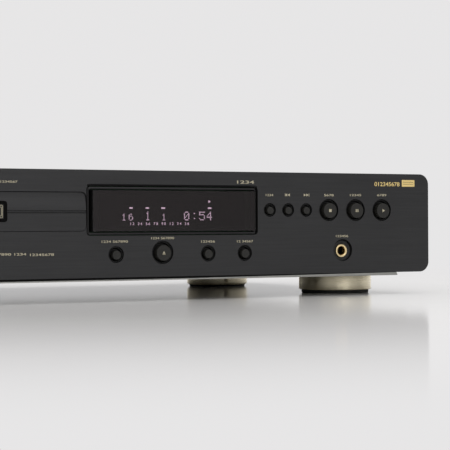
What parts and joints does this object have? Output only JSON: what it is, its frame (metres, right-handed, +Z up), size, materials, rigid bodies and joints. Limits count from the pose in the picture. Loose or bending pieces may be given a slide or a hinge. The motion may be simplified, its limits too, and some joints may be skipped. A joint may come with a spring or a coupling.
{
  "type": "cd player",
  "caption": "Full-width hi-fi disc player with a sliding disc drawer, display window, push keys, headphone socket and round turned feet.",
  "frame": {"origin": "on the floor, under the middle of the object's box", "axes": "+X along the front from the drawer towards the transport keys, -Y out of the front, +Z up"},
  "size_m": [0.44, 0.3114, 0.0933],
  "materials": {
    "black_aluminium": "black anodised, fine horizontal brushing",
    "black_plastic": "moulded, matt",
    "key_grey": "satin dark grey",
    "smoked_acrylic": "smoked, polished",
    "tube_glass": "clear over dark",
    "gold_metal": "gold plated",
    "champagne_aluminium": "turned, champagne anodised",
    "black_rubber": "matt",
    "cover_paint": "fine textured black paint",
    "zinc_steel": "zinc plated sheet",
    "bright_steel": "bright",
    "grey_plastic": "moulded",
    "white_plastic": "moulded",
    "circuit_board": "lacquered laminate",
    "copper_winding": "lacquered copper wire under tape",
    "lens_glass": "polished lens"
  },
  "bodies": {
    "case": {"front_panel": "black_aluminium", "front_carrier": "black_plastic", "display_bezel": "black_aluminium", "display_window": "smoked_acrylic", "display_tube": "tube_glass", "control_board": "circuit_board", "power_switch": "grey_plastic", "phones_bush": "gold_metal", "phones_jack": "grey_plastic", "base_chassis": "zinc_steel", "top_cover": "cover_paint", "cover_screw_1": "bright_steel", "cover_screw_2": "bright_steel", "cover_screw_3": "bright_steel", "cover_screw_4": "bright_steel", "rear_panel": "cover_paint", "line_sockets": "black_plastic", "digital_sockets": "black_plastic", "mains_inlet": "black_plastic", "foot_shell_front_left": "champagne_aluminium", "foot_shell_front_right": "champagne_aluminium", "foot_shell_rear_left": "champagne_aluminium", "foot_shell_rear_right": "champagne_aluminium", "foot_pad_front_left": "black_rubber", "foot_pad_front_right": "black_rubber", "foot_pad_rear_left": "black_rubber", "foot_pad_rear_right": "black_rubber", "loader_frame": "grey_plastic", "drive_belt": "black_rubber", "loading_motor": "bright_steel", "clamp_bridge": "zinc_steel", "transformer_core": "zinc_steel", "transformer_winding": "copper_winding", "main_board": "circuit_board", "capacitor_1": "black_plastic", "capacitor_2": "black_plastic"},
    "power_key": {"key_power": "key_grey"},
    "peak_key": {"key_peak": "key_grey"},
    "eject_key": {"key_eject": "key_grey"},
    "scroll_key": {"key_scroll": "key_grey"},
    "text_key": {"key_text": "key_grey"},
    "edit_key": {"key_edit": "key_grey"},
    "back_key": {"key_back": "key_grey"},
    "next_key": {"key_next": "key_grey"},
    "stop_key": {"key_stop": "key_grey"},
    "pause_key": {"key_pause": "key_grey"},
    "play_key": {"key_play": "key_grey"},
    "drawer_unit": {"drawer": "black_plastic", "drawer_door": "black_aluminium", "door_badge": "black_aluminium"},
    "pinion_unit": {"drive_pinion": "white_plastic"},
    "motor_pulley_unit": {"motor_pulley": "white_plastic"},
    "puck_unit": {"clamp_puck": "white_plastic"},
    "traverse_unit": {"traverse_deck": "grey_plastic", "guide_rod_left": "bright_steel", "guide_rod_right": "bright_steel", "spindle_motor": "bright_steel"},
    "turntable_unit": {"turntable": "black_plastic"},
    "pickup_unit": {"pickup_sled": "black_plastic", "pickup_lens": "lens_glass"}
  },
  "joints": [
    {"name": "power_press", "type": "slide", "parent": "case", "child": "power_key", "axis": [0, 1, 0], "range_m": [0, 0.003], "stiffness_N_per_m": 500},
    {"name": "peak_press", "type": "slide", "parent": "case", "child": "peak_key", "axis": [0, 1, 0], "range_m": [0, 0.0008], "stiffness_N_per_m": 800},
    {"name": "eject_press", "type": "slide", "parent": "case", "child": "eject_key", "axis": [0, 1, 0], "range_m": [0, 0.0008], "stiffness_N_per_m": 800},
    {"name": "scroll_press", "type": "slide", "parent": "case", "child": "scroll_key", "axis": [0, 1, 0], "range_m": [0, 0.0008], "stiffness_N_per_m": 800},
    {"name": "text_press", "type": "slide", "parent": "case", "child": "text_key", "axis": [0, 1, 0], "range_m": [0, 0.0008], "stiffness_N_per_m": 800},
    {"name": "edit_press", "type": "slide", "parent": "case", "child": "edit_key", "axis": [0, 1, 0], "range_m": [0, 0.0008], "stiffness_N_per_m": 800},
    {"name": "back_press", "type": "slide", "parent": "case", "child": "back_key", "axis": [0, 1, 0], "range_m": [0, 0.0008], "stiffness_N_per_m": 800},
    {"name": "next_press", "type": "slide", "parent": "case", "child": "next_key", "axis": [0, 1, 0], "range_m": [0, 0.0008], "stiffness_N_per_m": 800},
    {"name": "stop_press", "type": "slide", "parent": "case", "child": "stop_key", "axis": [0, 1, 0], "range_m": [0, 0.0008], "stiffness_N_per_m": 800},
    {"name": "pause_press", "type": "slide", "parent": "case", "child": "pause_key", "axis": [0, 1, 0], "range_m": [0, 0.0008], "stiffness_N_per_m": 800},
    {"name": "play_press", "type": "slide", "parent": "case", "child": "play_key", "axis": [0, 1, 0], "range_m": [0, 0.0008], "stiffness_N_per_m": 800},
    {"name": "drawer_slide", "type": "slide", "parent": "case", "child": "drawer_unit", "axis": [0, -1, 0], "range_m": [0, 0.14]},
    {"name": "pinion_spin", "type": "hinge", "parent": "case", "child": "pinion_unit", "pos_m": [-0.08818, -0.1113, 0.05223], "axis": [0, 0, -1], "range_deg": [0, 766]},
    {"name": "motor_pulley_spin", "type": "hinge", "parent": "case", "child": "motor_pulley_unit", "pos_m": [-0.08818, -0.0773, 0.04723], "axis": [0, 0, -1], "range_deg": [0, 3170]},
    {"name": "traverse_tilt", "type": "hinge", "parent": "case", "child": "traverse_unit", "pos_m": [-0.1343, 0.006, 0.04773], "axis": [1, 0, 0], "range_deg": [0, 5]},
    {"name": "turntable_spin", "type": "hinge", "parent": "traverse_unit", "child": "turntable_unit", "pos_m": [-0.1343, -0.084, 0.06343], "axis": [0, 0, 1], "continuous": true},
    {"name": "puck_spin", "type": "hinge", "parent": "case", "child": "puck_unit", "pos_m": [-0.1343, -0.084, 0.07303], "axis": [0, 0, 1], "continuous": true},
    {"name": "pickup_slide", "type": "slide", "parent": "traverse_unit", "child": "pickup_unit", "axis": [0, 1, 0], "range_m": [0, 0.034]}
  ],
  "couplings": [
    {"joint": "pinion_spin", "follows": "drawer_slide", "rad_per_m": 95.238},
    {"joint": "motor_pulley_spin", "follows": "drawer_slide", "rad_per_m": 394.56},
    {"joint": "puck_spin", "follows": "turntable_spin", "ratio": 1}
  ]
}
